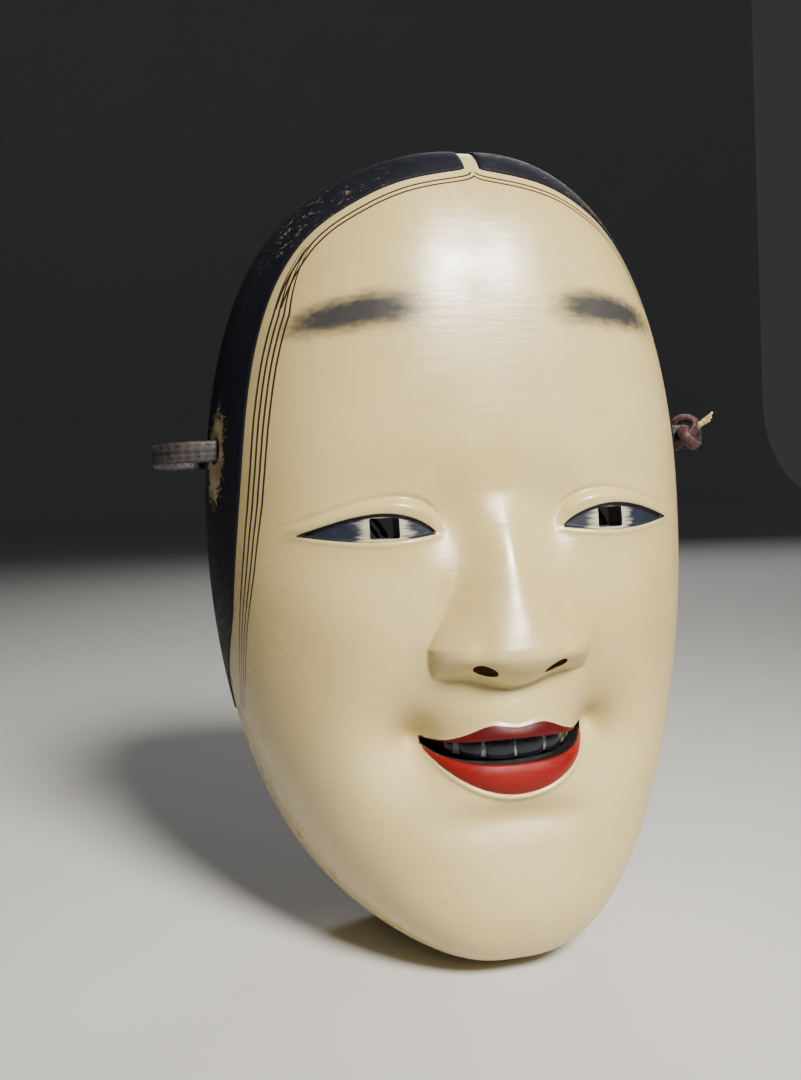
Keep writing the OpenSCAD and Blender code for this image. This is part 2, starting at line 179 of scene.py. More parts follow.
class Paint:
    """One procedural material. Each method adds a node and gives back its output socket."""

    def __init__(self, name):
        self.material = bpy.data.materials.new(name)
        self.material.use_nodes = True
        self.tree = self.material.node_tree
        self.shader = self.tree.nodes["Principled BSDF"]

    def set(self, **values):
        for name, value in values.items():
            self.shader.inputs[name.replace("_", " ")].default_value = value

    def node(self, kind, **settings):
        made = self.tree.nodes.new(kind)
        for name, value in settings.items():
            setattr(made, name, value)
        return made

    def feed(self, socket, value):
        if isinstance(value, bpy.types.NodeSocket):
            self.tree.links.new(value, socket)
        elif value is not None:
            socket.default_value = value

    def place(self):
        return self.node("ShaderNodeTexCoord").outputs["Object"]

    def stretched(self, x, y, z):
        """Object coordinates in metres, scaled apart along each axis."""
        made = self.node("ShaderNodeMapping")
        made.inputs["Scale"].default_value = (x, y, z)
        self.feed(made.inputs["Vector"], self.place())
        return made.outputs["Vector"]

    def field(self, name):
        return self.node("ShaderNodeAttribute", attribute_name=name).outputs["Fac"]

    def ragged(self, name, depth, noise):
        """A field roughened by a noise, up to depth either way."""
        return self.math("ADD", self.field(name), self.span(noise, 0.3, 0.7, -depth, depth))

    def math(self, operation, a, b):
        made = self.node("ShaderNodeMath", operation=operation)
        self.feed(made.inputs[0], a)
        self.feed(made.inputs[1], b)
        return made.outputs[0]

    def span(self, value, low, high, to_low=0.0, to_high=1.0):
        """Maps low..high to to_low..to_high, smoothly and clamped."""
        made = self.node("ShaderNodeMapRange", interpolation_type="SMOOTHSTEP")
        names = ("Value", "From Min", "From Max", "To Min", "To Max")
        for name, given in zip(names, (value, low, high, to_low, to_high), strict=True):
            self.feed(made.inputs[name], given)
        return made.outputs["Result"]

    def noise(self, scale, detail=4, rough=0.5, vector=None, distortion=0.0):
        made = self.node("ShaderNodeTexNoise")
        names = ("Scale", "Detail", "Roughness", "Distortion", "Vector")
        given = (scale, detail, rough, distortion, vector or self.place())
        for name, value in zip(names, given, strict=True):
            self.feed(made.inputs[name], value)
        return made.outputs["Fac"]

    def cells(self, scale, feature="F1", vector=None):
        made = self.node("ShaderNodeTexVoronoi", feature=feature)
        made.inputs["Scale"].default_value = scale
        self.feed(made.inputs["Vector"], vector or self.place())
        return made.outputs["Distance"]

    def ramp(self, value, stops):
        made = self.node("ShaderNodeValToRGB")
        marks = made.color_ramp.elements
        while len(marks) < len(stops):
            marks.new(0.5)
        for mark, (at, colour) in zip(marks, stops, strict=True):
            mark.position = at
            mark.color = (*colour, 1)
        self.feed(made.inputs["Fac"], value)
        return made.outputs["Color"]

    def mix(self, amount, a, b, blend="MIX"):
        made = self.node("ShaderNodeMix", data_type="RGBA", blend_type=blend)
        for key, value in (("Factor", amount), (6, a), (7, b)):
            self.feed(made.inputs[key], (*value, 1) if isinstance(value, tuple) else value)
        return made.outputs[2]

    def finish(self, base, rough, *bumps):
        """The finished material. Each bump is a (height, depth in millimetres) pair."""
        last = None
        for height, depth in bumps:
            made = self.node("ShaderNodeBump")
            made.inputs["Distance"].default_value = depth * MM
            self.feed(made.inputs["Height"], height)
            self.feed(made.inputs["Normal"], last)
            last = made.outputs["Normal"]
        for name, value in (("Base Color", base), ("Roughness", rough), ("Normal", last)):
            self.feed(self.shader.inputs[name], value)
        return self.material


# ---- The shape of the mask ----

# Height and half width of the nose at rising heights
NOSE_MIDDLE_Z = -23.5
NOSE_Z = [-33, -29, -25, -22, -18, -14, -8, 0, 8, 16, 24]
NOSE_HEIGHT = [12.0, 12.3, 12.4, 12.0, 10.8, 9.3, 7.3, 4.8, 2.3, 0.6, 0]
NOSE_WIDTH = [19.0, 20.0, 21.0, 21.0, 19.0, 16.8, 14.2, 12.2, 11.0, 10.5, 10]


def full_turn(count):
    return 2 * np.pi * np.arange(count) / count


def ease(t):
    t = np.clip(t, 0, 1)
    return t * t * (3 - 2 * t)


def swell(x, z, cx, cz, rx, rz):
    return np.exp(-(((x - cx) / rx) ** 2) - ((z - cz) / rz) ** 2)


def twin(x, z, cx, cz, rx, rz):
    return swell(np.abs(x), z, cx, cz, rx, rz)


def section_w(v):
    """Half width of the horizontal section at latitude v, from -90 at the chin to 90."""
    return HALF_W * (1 + 0.067 * v / 90) * np.cos(np.radians(v)) ** 0.68


def section_d(v):
    s = np.sin(np.radians(v))
    depth = MASK_D * (1 - 0.045 * s + 0.18 * s**2 - 0.2 * s**3)
    return depth * np.cos(np.radians(v)) ** 0.28


def nose(x, z):
    """The bridge widens down to the wings, which end in a crisp edge at the cheek and below."""
    a = np.abs(x)
    height = np.interp(z, NOSE_Z, NOSE_HEIGHT)
    width = np.interp(z, NOSE_Z, NOSE_WIDTH)
    soft = np.interp(z, [-22, -12, 2], [0.55, 1.25, 2.2])
    across = np.clip(1 - (a / width) ** 2, 0, 1) ** soft
    foot = -32.8 + 3.0 * ease(a / 14)
    below = np.clip((NOSE_MIDDLE_Z - z) / (NOSE_MIDDLE_Z - foot), 0, 1)
    groove = 0.8 * twin(x, z, 10.2, -23.5, 3.2, 7)
    under = (1 - below**1.5) ** 0.8
    return np.maximum(0, height * across * under - groove * (below < 1))


def lip_u(x):
    return np.clip(np.abs(x) / MOUTH_HALF, 0, 1)


def upper_lip_top(x):
    peaks = 1.3 * np.exp(-(((np.abs(x) - 7) / 4.5) ** 2))
    body = 2.5 * (1 - np.clip(lip_u(x) / LIP_END, 0, 1) ** 2.2)
    return upper_lip_low(x) + body + peaks


def upper_lip_low(x):
    return -44.9 - 1.9 * lip_u(x) ** 2 + 1.6 * lip_u(x) ** 9


def teeth_low(x):
    return -51.0 + 2.9 * lip_u(x) ** 2


def lower_lip_top(x):
    return -51.7 + 2.5 * lip_u(x) ** 2.2 + 1.7 * lip_u(x) ** 8


def lower_lip_low(x):
    return -59.4 + 10.0 * lip_u(x) ** 1.9 + 1.6 * lip_u(x) ** 8


def eye_s(x):
    return np.clip((np.abs(x) - EYE_IN) / (EYE_OUT - EYE_IN), 0, 1)


def eye_mid(x):
    return 6 + 0.8 * eye_s(x)


def upper_lid(x):
    return eye_mid(x) + 5.4 * np.sin(np.pi * eye_s(x) ** 0.75)


def lower_lid(x):
    return eye_mid(x) - 1.9 * np.sin(np.pi * eye_s(x) ** 0.95)


def lid_fold(x):
    """Height of the crease above the upper lid."""
    s = np.clip((np.abs(x) - 15) / 38, 0, 1)
    return 8.6 + 6.8 * np.sin(np.pi * s**0.62)


def eye_form(x, z):
    """The lids and the sunk eye between them."""
    inside = np.minimum(upper_lid(x) - z, z - lower_lid(x))
    along = (np.abs(x) > EYE_IN) & (np.abs(x) < EYE_OUT)
    sunk = -1.0 * ease(inside / 0.7) * along
    span = ease((np.abs(x) - 14) / 5) * ease((54 - np.abs(x)) / 6)
    fold = -1.0 * np.exp(-(((z - lid_fold(x)) / 0.9) ** 2)) * span
    lid = 1.1 * np.exp(-(((z - (upper_lid(x) + lid_fold(x)) / 2) / 1.9) ** 2)) * span
    under = 0.35 * np.exp(-(((z - lower_lid(x) + 0.7) / 0.6) ** 2)) * span
    return sunk + fold + lid + under


def lip_form(x, z):
    """The swell of both lips, with the raised rim under the lower one."""
    u = lip_u(x)
    side = 1 - u**3
    upper_t = (z - upper_lip_low(x)) / (upper_lip_top(x) - upper_lip_low(x) + 0.01)
    upper = 1.3 * side * np.clip(1 - np.abs(upper_t - 0.25) ** 1.5, 0, 1) * (upper_t > -0.6)
    lower_t = (z - lower_lip_low(x)) / (lower_lip_top(x) - lower_lip_low(x) + 0.01)
    lower = 2.0 * side * np.clip(1 - (lower_t - 0.62) ** 2 * 2.6, 0, 1)
    rim = 0.95 * np.exp(-(((z - lower_lip_low(x) + 0.75) / 0.75) ** 2)) * (1 - u**6)
    return np.maximum(upper, 0) + np.maximum(lower, 0) + rim


def features(x, z):
    """Height of the features above the dome."""
    return (
        nose(x, z)
        - 3.0 * twin(x, z, 14.5, 10, 7, 9)
        - 3.0 * twin(x, z, 33, 9, 21, 12)
        + 3.2 * twin(x, z, 32, 8, 14, 7.5)
        - 2.0 * swell(x, z, 0, 15, 9, 8)
        + 1.2 * twin(x, z, 37, -16, 15, 15)
        - 7.5 * twin(x, z, 25, -46.5, 11, 13)
        - 5.0 * twin(x, z, 23.5, -46.5, 5, 5.5)
        + 2.0 * swell(x, z, 0, -41, 13, 8)
        - 2.8 * swell(x, z, 0, -65.5, 16, 4.5)
        + 1.5 * swell(x, z, 0, -87, 16, 10)
        + eye_form(x, z)
        + lip_form(x, z)
    )


# Height and half width of the bare face, upwards
HAIRLINE = [
    (-80, 60), (-60, 63), (-45, 64), (-25, 64.9), (-5, 64), (15, 61.8), (38, 59.3), (53, 56.4),
    (64, 53), (73, 49), (81, 43.4), (86, 37.5), (90.6, 28.5), (93, 23), (95, 16.5), (96.5, 8),
    (97.5, 2.5), (98, 1.7),
]


def hairline(z):
    """Half width of the bare face at height z."""
    curve = b_spline(np.array(HAIRLINE, float), 0.2)
    return np.interp(z, curve[:, 0], curve[:, 1])


def skin(v, across, g):
    """Points of the surface at latitude v. across runs from -1 to 1 over the section's width."""
    v, across, g = np.broadcast_arrays(v, across, g)
    s = np.abs(np.sin(np.pi / 2 * np.clip(across, -1, 1))) ** (1 / 0.67)
    x = (section_w(v) + g) * np.sign(across) * s**0.67
    d = (section_d(v) + g) * np.clip(1 - s**2, 0, 1) ** 0.59
    z = (HALF_H + g) * np.sin(np.radians(v))
    relief = features(x, z) * np.clip((d - 8) / 22, 0, 1)
    return np.stack([x, -d - relief, z], -1)


def front(x, z, g):
    """Points of the surface seen at x, z from the front."""
    x, z, g = np.broadcast_arrays(x, z, g)
    v = np.degrees(np.arcsin(np.clip(z / (HALF_H + g), -1, 1)))
    share = np.clip(x / (section_w(v) + g), -1, 1)
    return skin(v, np.arcsin(share) / (np.pi / 2), g)


# ---- Meshes ----


def grid_quads(up, across, start=0, flip=False):
    """Quads over a grid of up rows of across points."""
    j, i = np.meshgrid(np.arange(up - 1), np.arange(across - 1), indexing="ij")
    a = start + (j * across + i).ravel()
    quads = np.stack([a, a + 1, a + across + 1, a + across], 1)
    return quads[:, ::-1] if flip else quads


def edge_loop(up, across, start=0):
    """The border of such a grid, once round."""
    ids = start + np.arange(up * across).reshape(up, across)
    return np.concatenate([ids[0, :-1], ids[:-1, -1], ids[-1, :0:-1], ids[:0:-1, 0]])


def closed_sheet(outer, inner):
    """The solid between two grids of points, as its points and then its quads."""
    up, across = outer.shape[:2]
    layer = up * across
    points = np.concatenate([outer.reshape(-1, 3), inner.reshape(-1, 3)])
    a, b = edge_loop(up, across), edge_loop(up, across, layer)
    walls = np.stack([np.roll(a, -1), a, b, np.roll(b, -1)], 1)
    return points, grid_quads(up, across), grid_quads(up, across, layer, flip=True), walls


def ring_quads(count, around, closed=False):
    """Quads between each ring of points and the next, and from the last to the first if closed."""
    rows = count if closed else count - 1
    k, i = np.meshgrid(np.arange(rows), np.arange(around), indexing="ij")
    here, there = k * around, (k + 1) % count * around
    after = (i + 1) % around
    return np.stack([here + i, here + after, there + after, there + i], -1).reshape(-1, 4)


def tube(rings):
    """A closed tube through rings of points, as its points, quads and end triangles."""
    count, around = rings.shape[:2]
    points = np.concatenate([rings.reshape(-1, 3), rings.mean(1)[[0, -1]]])
    ring = np.arange(around)
    after = (ring + 1) % around
    base = (count - 1) * around
    hub = np.full(around, count * around)
    start = np.stack([hub, after, ring], 1)
    end = np.stack([hub + 1, base + ring, base + after], 1)
    return points, ring_quads(count, around), np.concatenate([start, end])


def add_solid(name, points, *faces):
    """A closed mesh object, from points in millimetres and arrays of faces."""
    mesh = bpy.data.meshes.new(name)
    mesh.from_pydata((points * MM).tolist(), [], [face for part in faces for face in part.tolist()])
    made = bpy.data.objects.new(name, mesh)
    bpy.context.scene.collection.objects.link(made)
    work = bmesh.new()
    work.from_mesh(mesh)
    bmesh.ops.recalc_face_normals(work, faces=work.faces)
    work.to_mesh(mesh)
    work.free()
    return made


def add_mesh(name, shape, material, nodes, openings=()):
    """A smooth piece that stands for its CAD nodes, with its openings cut out of it."""
    piece = add_solid(name, *shape)
    mesh = piece.data
    mesh.polygons.foreach_set("use_smooth", [True] * len(mesh.polygons))
    mesh.materials.append(material)
    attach(piece, "root")
    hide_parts(*nodes)
    cut(piece, openings)
    return piece


def coordinates(piece):
    """The x, y and z of each vertex of a piece, in millimetres."""
    flat = np.zeros(len(piece.data.vertices) * 3, np.float32)
    piece.data.vertices.foreach_get("co", flat)
    return flat.reshape(-1, 3).astype(float).T / MM


def add_field(piece, name, values):
    """A number at each vertex, which a material reads by name."""
    made = piece.data.attributes.new(name, "FLOAT", "POINT")
    made.data.foreach_set("value", np.asarray(values, np.float32))


def cut(piece, cutters):
    """Takes each cutter mesh out of a closed piece."""
    if not cutters:
        return
    for cutter in cutters:
        step = piece.modifiers.new("cut", "BOOLEAN")
        step.operation = "DIFFERENCE"
        step.solver = "MANIFOLD"
        step.object = cutter
    graph = bpy.context.evaluated_depsgraph_get()
    carved = bpy.data.meshes.new_from_object(piece.evaluated_get(graph))
    piece.modifiers.clear()
    piece.data = carved


def spread(*stretches):
    """One rising list of values: each stretch is (from, to, step)."""
    parts = [np.arange(low, high - step / 2, step) for low, high, step in stretches]
    return np.concatenate([*parts, [stretches[-1][1]]])


def fine_rows():
    """Latitudes of the rows: close together at the mouth, nose and eyes."""
    heights = spread(
        (-104.5, -98, 0.9), (-98, -62, 1.1), (-62, -18.5, 0.4), (-18.5, 1.5, 0.7),
        (1.5, 17, 0.35), (17, 92, 1.1), (92, 104.5, 0.7),
    )
    v = np.degrees(np.arcsin(heights / HALF_H))
    return np.concatenate([[-89.7, -87, -83.5], v, [83.5, 87, 89.7]])


def fine_columns():
    """Shares across the width, close together over the features."""
    side = spread((0, 24, 0.4), (24, 52, 0.55), (52, 62, 0.9))
    shares = np.arcsin(side / HALF_W) / (np.pi / 2)
    rest = np.linspace(shares[-1], 1, 32)[1:]
    half = np.concatenate([shares, rest])
    return np.concatenate([-half[:0:-1], half])


# ---- Materials of the mask ----


def gofun():
    """Burnished shell white, aged to cream, with the drawn brows and strands of hair."""
    paint = Paint("gofun")
    base = paint.ramp(paint.noise(18, 5), [
        (0.28, (0.50, 0.385, 0.155)), (0.5, (0.565, 0.45, 0.195)), (0.74, (0.62, 0.51, 0.24)),
    ])
    strokes = paint.noise(90, 4, vector=paint.stretched(1, 1, 9))
    base = paint.mix(paint.span(strokes, 0.35, 0.8, 0, 0.10), base, (0.55, 0.45, 0.29))
    specks = paint.span(paint.cells(420), 0.10, 0.16, 1, 0)
    dots = paint.math("MULTIPLY", specks, paint.span(paint.noise(60, 2), 0.58, 0.66))
    base = paint.mix(paint.math("MULTIPLY", dots, 0.35), base, (0.33, 0.22, 0.11))
    # Painted shade: the face goes darker brown where the field "hollow" is high, in the creases beside the
    # nose wings, under the lower lip and towards the rim.
    base = paint.mix(paint.math("MULTIPLY", paint.field("hollow"), 0.6), base, (0.34, 0.24, 0.11))
    fibres = paint.noise(420, 4, 0.6, paint.stretched(0.5, 1, 1.6))
    brow = paint.span(paint.ragged("brow", 0.10, fibres), -0.1, 0.95, 0, 0.95)
    base = paint.mix(brow, base, (0.018, 0.022, 0.034))
    base = paint.mix(paint.field("ink"), base, (0.022, 0.013, 0.008))
    base = paint.mix(strands(paint), base, (0.030, 0.018, 0.016))
    dull = paint.span(paint.noise(120, 4), 0.3, 0.75, 0.25, 0.38)
    dull = paint.math("ADD", dull, paint.math("MULTIPLY", paint.field("matte"), 0.4))
    paint.set(Specular_IOR_Level=0.72)
    cracks = paint.span(paint.cells(150, "DISTANCE_TO_EDGE", paint.stretched(1, 1, 0.8)), 0, 0.02)
    return paint.finish(base, dull, (strokes, 0.05), (cracks, 0.006), (paint.noise(900, 3), 0.012))


def strands(paint):
    """How much of a drawn strand lies at a point: two follow the hair, four run down the sides."""
    wobble = paint.span(paint.noise(70, 2), 0.2, 0.8, -0.06, 0.06)
    total = 0.0
    for name, most in (("strand_top", 2), ("strand_side", 4)):
        line = paint.math("ADD", paint.field(name), wobble)
        away = paint.math("PINGPONG", paint.math("ADD", line, 0.5), 0.5)
        away = paint.math("SUBTRACT", 0.5, away)
        ink = paint.span(away, 0.16, 0.24, 1, 0)
        kept = paint.math("MULTIPLY", paint.math("GREATER_THAN", line, 0.5),
                          paint.math("LESS_THAN", line, most + 0.5))
        total = paint.math("MAXIMUM", paint.math("MULTIPLY", ink, kept), total)
    return total


def hair_black():
    """Ink black over glue, worn to the ground in flecks and round the cord hole."""
    paint = Paint("hair_black")
    brushed = paint.noise(30, 5, 0.6, paint.stretched(1, 4, 0.6))
    base = paint.ramp(brushed, [
        (0.3, (0.004, 0.005, 0.008)), (0.6, (0.007, 0.008, 0.015)), (0.8, (0.014, 0.017, 0.025)),
    ])
    flecks = paint.noise(300, 6, 0.8, paint.stretched(1, 1, 2.2))
    flakes = paint.math("ADD", flecks, paint.field("worn"))
    worn = paint.span(flakes, 0.74, 0.80)
    ground = paint.ramp(paint.noise(180, 3), [
        (0.3, (0.16, 0.11, 0.05)), (0.55, (0.34, 0.27, 0.14)), (0.8, (0.52, 0.46, 0.31)),
    ])
    paint.set(Specular_IOR_Level=0.2)
    rough = paint.span(flakes, 0.3, 0.8, 0.42, 0.75)
    fine = paint.noise(800, 3)
    return paint.finish(paint.mix(worn, base, ground), rough, (worn, -0.12), (brushed, 0.06), (fine, 0.02))


def eye_paint():
    """Indigo strokes fading to white beside the pupil, inked along the lids."""
    paint = Paint("eye_paint")
    away = paint.field("from_pupil")
    streaks = paint.noise(900, 4, 0.6, paint.stretched(0.16, 0.3, 1.4))
    reach = paint.math("ADD", away, paint.span(streaks, 0.25, 0.75, -1.7, 1.7))
    base = paint.ramp(paint.span(reach, 4.3, 7.6), [
        (0.0, (0.42, 0.38, 0.28)), (0.4, (0.20, 0.20, 0.18)), (1.0, (0.013, 0.018, 0.032)),
    ])
    mottle = paint.span(paint.noise(500, 3), 0.45, 0.8, 0, 0.25)
    base = paint.mix(mottle, base, (0.05, 0.06, 0.08))
    edge = paint.noise(300, 2)
    above = paint.span(paint.ragged("under_lid", 0.12, edge), 0.95, 1.35, 1, 0)
    below = paint.span(paint.ragged("over_lid", 0.12, edge), 0.10, 0.30, 1, 0)
    base = paint.mix(paint.math("MAXIMUM", above, below), base, (0.012, 0.011, 0.016))
    paint.set(Specular_IOR_Level=0.3)
    return paint.finish(base, paint.span(streaks, 0.3, 0.7, 0.45, 0.6), (streaks, 0.03))


def lip_paint(name, deep, bright, pale):
    """Brushed pigment, thin and chipped where the field "rim" nears nought."""
    paint = Paint(name)
    brushed = paint.noise(160, 5, 0.6, paint.stretched(1, 1, 3))
    base = paint.ramp(brushed, [(0.3, deep), (0.72, bright)])
    chips = paint.ragged("rim", 0.22, paint.noise(700, 4))
    base = paint.mix(paint.span(chips, 0.02, 0.16, 0.9, 0), base, pale)
    paint.set(Specular_IOR_Level=0.25)
    rough = paint.span(brushed, 0.3, 0.8, 0.42, 0.58)
    return paint.finish(base, rough, (brushed, 0.05), (paint.noise(900, 3), 0.02))


def tooth_black():
    """Glossy blue-black with pale grey lines between the teeth, which are partly painted highlights on the
    tooth edges.
    """
    paint = Paint("tooth_black")
    base = paint.ramp(paint.noise(150, 4), [(0.3, (0.005, 0.006, 0.010)), (0.8, (0.018, 0.021, 0.032))])
    # Pale grey at the joins between the teeth: partly painted lines, partly a painted highlight along the
    # tooth edges.
    gap = paint.ragged("from_gap", 0.35, paint.noise(420, 3, 0.6, paint.stretched(1, 1, 0.3)))
    base = paint.mix(paint.span(gap, 0.22, 0.55, 0.75, 0), base, (0.24, 0.26, 0.29))
    paint.set(Specular_IOR_Level=0.3, Coat_Weight=0.25, Coat_Roughness=0.06)
    rough = paint.span(paint.noise(300, 3), 0.3, 0.7, 0.10, 0.24)
    return paint.finish(base, rough, (paint.noise(400, 3, 0.5, paint.stretched(2, 1, 0.5)), 0.05))


def hinoki():
    """Old cypress: straight close grain with its growth bands, darkened by handling."""
    paint = Paint("hinoki_wood")
    grain = paint.noise(38, 6, 0.6, paint.stretched(9, 5, 0.5), 0.4)
    base = paint.ramp(grain, [
        (0.3, (0.28, 0.155, 0.07)), (0.48, (0.43, 0.26, 0.13)), (0.56, (0.36, 0.20, 0.09)),
        (0.75, (0.52, 0.34, 0.18)),
    ])
    pores = paint.noise(700, 3, 0.6, paint.stretched(2, 2, 0.15))
    base = paint.mix(paint.span(pores, 0.6, 0.75, 0, 0.5), base, (0.16, 0.08, 0.035))
    stain = paint.span(paint.noise(25, 3), 0.5, 0.8, 0, 0.55)
    base = paint.mix(stain, base, (0.13, 0.07, 0.04))
    base = paint.mix(paint.field("ink"), base, (0.010, 0.008, 0.008))
    return paint.finish(base, paint.span(grain, 0.3, 0.7, 0.45, 0.65), (grain, 0.10), (pores, 0.06))


def lacquer():
    """Rubbed dark lacquer over the tool marks, worn thin on their ridges."""
    paint = Paint("back_lacquer")
    cloudy = paint.noise(22, 5)
    base = paint.ramp(cloudy, [
        (0.3, (0.040, 0.014, 0.008)), (0.55, (0.075, 0.028, 0.013)), (0.8, (0.13, 0.055, 0.024)),
    ])
    ridge = paint.ragged("ridge", 0.3, paint.noise(150, 4))
    base = paint.mix(paint.span(ridge, 0.72, 1.05, 0, 0.8), base, (0.26, 0.13, 0.055))
    grain = paint.noise(40, 4, 0.6, paint.stretched(9, 5, 0.5))
    base = paint.mix(paint.span(grain, 0.55, 0.75, 0, 0.35), base, (0.03, 0.012, 0.008))
    paint.set(Coat_Weight=0.3, Coat_Roughness=0.18)
    rough = paint.span(cloudy, 0.3, 0.7, 0.24, 0.42)
    return paint.finish(base, rough, (grain, 0.06), (paint.noise(500, 3), 0.03))


def silk(name, dark, light, sheen):
    """Silk thread: fine twisted filaments, with painted highlight on the crowns of the plait and painted
    shade between its stitches.
    """
    paint = Paint(name)
    # Painted light: the raised crowns of the plait are lighter and the hollows between the stitches are
    # darker.
    crown = paint.ragged("crown", 0.25, paint.noise(900, 4))
    base = paint.ramp(paint.span(crown, 0.0, 1.0), [(0.1, dark), (0.85, light)])
    faded = paint.span(paint.noise(60, 3), 0.45, 0.75, 0, 0.3)
    base = paint.mix(faded, base, (0.10, 0.08, 0.07))
    paint.set(Sheen_Weight=0.15, Sheen_Roughness=0.4, Sheen_Tint=(*sheen, 1))
    rough = paint.span(paint.noise(1500, 3), 0.3, 0.7, 0.45, 0.7)
    return paint.finish(base, rough, (paint.noise(2600, 3, 0.6, paint.stretched(1, 1, 0.5)), 0.05))


def gilt():
    """Gilt paper thread over a dark core, rubbed through in places."""
    paint = Paint("gold_thread")
    rubbed = paint.noise(900, 4, 0.7)
    base = paint.ramp(rubbed, [
        (0.3, (0.10, 0.055, 0.03)), (0.48, (0.42, 0.29, 0.12)), (0.7, (0.78, 0.62, 0.33)),
    ])
    paint.set(Metallic=0.35)
    rough = paint.span(rubbed, 0.3, 0.7, 0.55, 0.32)
    return paint.finish(base, rough, (rubbed, 0.06), (paint.noise(3000, 2), 0.02))


def pad_silk():
    """A padded silk crepe, plain woven, with worn and faded patches."""
    paint = Paint("pad_cloth")
    base = paint.ramp(paint.noise(70, 4), [(0.3, (0.27, 0.055, 0.035)), (0.7, (0.40, 0.12, 0.075))])
    across = paint.noise(1400, 2, 0.5, paint.stretched(1, 1, 0.22))
    along = paint.noise(1400, 2, 0.5, paint.stretched(0.22, 1, 1))
    weave = paint.math("MULTIPLY", across, along)
    base = paint.mix(paint.span(weave, 0.15, 0.4, 0.35, 0), base, (0.14, 0.028, 0.02))
    base = paint.mix(paint.math("MULTIPLY", paint.field("seam"), 0.6), base, (0.13, 0.03, 0.02))
    paint.set(Sheen_Weight=0.4, Sheen_Roughness=0.5)
    rough = paint.span(weave, 0.1, 0.4, 0.85, 0.65)
    return paint.finish(base, rough, (weave, 0.12), (paint.noise(300, 3), 0.15))


# ---- Openings ----


def pupil_cutter(side):
    """A bar along Y with rounded corners."""
    ring = []
    for turn, (to_x, to_z) in enumerate(((1, 1), (-1, 1), (-1, -1), (1, -1))):
        for k in range(5):
            a = math.radians(90 * turn + 22.5 * k)
            ring.append((
                side * EYE_X + to_x * (PUPIL_W / 2 - PUPIL_CORNER) + PUPIL_CORNER * math.cos(a),
                EYE_Z + to_z * (PUPIL_H / 2 - PUPIL_CORNER) + PUPIL_CORNER * math.sin(a),
            ))
    rings = np.array([[(x, y, z) for x, z in ring] for y in (-75, -20)])
    return add_solid(f"pupil_{side}", *tube(rings))


def nostril_cutter(side):
    """A slanting oval tunnel that rises into the nose."""
    start = front(side * 8.6, -27.4, FACE_T) + np.array([0, -1.5, -0.9])
    inward = np.array([0, 11.0, 9.0])
    a = full_turn(28)
    tilt = math.radians(15) * side
    rings = []
    for t in np.linspace(0, 1, 9):
        grow = math.sqrt(max(0.02, 1 - (1 - min(1, t * 2.5)) ** 2)) * (1 - 0.5 * max(0, t - 0.5))
        long, short = 4.7 * grow * np.cos(a), 2.3 * grow * np.sin(a)
        rings.append(start + inward * t + np.stack([
            long * math.cos(tilt) - short * math.sin(tilt), -0.9 * short,
            long * math.sin(tilt) + short * math.cos(tilt),
        ], 1))
    return add_solid(f"nostril_{side}", *tube(np.array(rings)))


def mouth_cutter():
    """The recess of the mouth, from the upper lip down to the lower one."""
    xs = MOUTH_HALF * 0.99 * np.sin(np.linspace(-np.pi / 2, np.pi / 2, 61))
    rings = []
    for x in xs:
        low, high = lower_lip_top(x), upper_lip_low(x)
        room = (high - low) * math.sqrt(max(0.03, 1 - lip_u(x) ** 4))
        middle = (low + high) / 2
        lips = -front(x, middle, 0)[1]
        deep = lips - 8.0 + 4.0 * lip_u(x) ** 2
        rings.append([
            (x, -lips - 9, middle - room / 2), (x, -lips - 9, middle + room / 2),
            (x, -deep, middle + room / 2 + 0.8), (x, -deep, middle - room / 2 - 0.6),
        ])
    return add_solid("mouth", *tube(np.array(rings)))


def mouth_slot():
    """The slot under the teeth goes right through, rising behind them."""
    rings = []
    for x in np.linspace(-MOUTH_HALF * 0.68, MOUTH_HALF * 0.68, 31):
        low, high = lower_lip_top(x) - 0.2, teeth_low(x) + 1.6
        rings.append([
            (x, -70, low - 1.5), (x, -70, high - 1.5), (x, -20, high + 6), (x, -20, low + 6),
        ])
    return add_solid("mouth_slot", *tube(np.array(rings)))


def hole_cutter(side):
    """The hole for the cord, bored in from the side."""
    rings = []
    for x in (44, 80):
        rings.append([
            (side * x, HOLE_Y + HOLE_D / 2 * math.cos(a), HOLE_Z + HOLE_D / 2 * math.sin(a))
            for a in np.linspace(0, 2 * math.pi, 41)[:-1]
        ])
    return add_solid(f"hole_{side}", *tube(np.array(rings)))


# ---- The carved shell and its coats ----


def hair_distance(x, z):
    """Distance from the hairline in the front view, positive on the bare face."""
    a = np.abs(x)
    best = np.full(a.shape, 1e9)
    for h, w in b_spline(np.array(HAIRLINE, float), 0.25):
        best = np.minimum(best, (a - w) ** 2 + (z - h) ** 2)
    inside = (a < hairline(z)) & (z < HAIRLINE[-1][0])
    return np.sqrt(best) * np.where(inside, 1, -1)


NO_STRAND = 50
STRAND_PITCH = 1.15


def add_face(openings):
    v = fine_rows()[:, None]
    across = fine_columns()[None, :]
    sheet = closed_sheet(skin(v, across, FACE_T), skin(v, across, -0.4))
    piece = add_mesh("face_coat_fine", sheet, gofun(), ["face_coat"], openings)
    add_face_fields(piece)


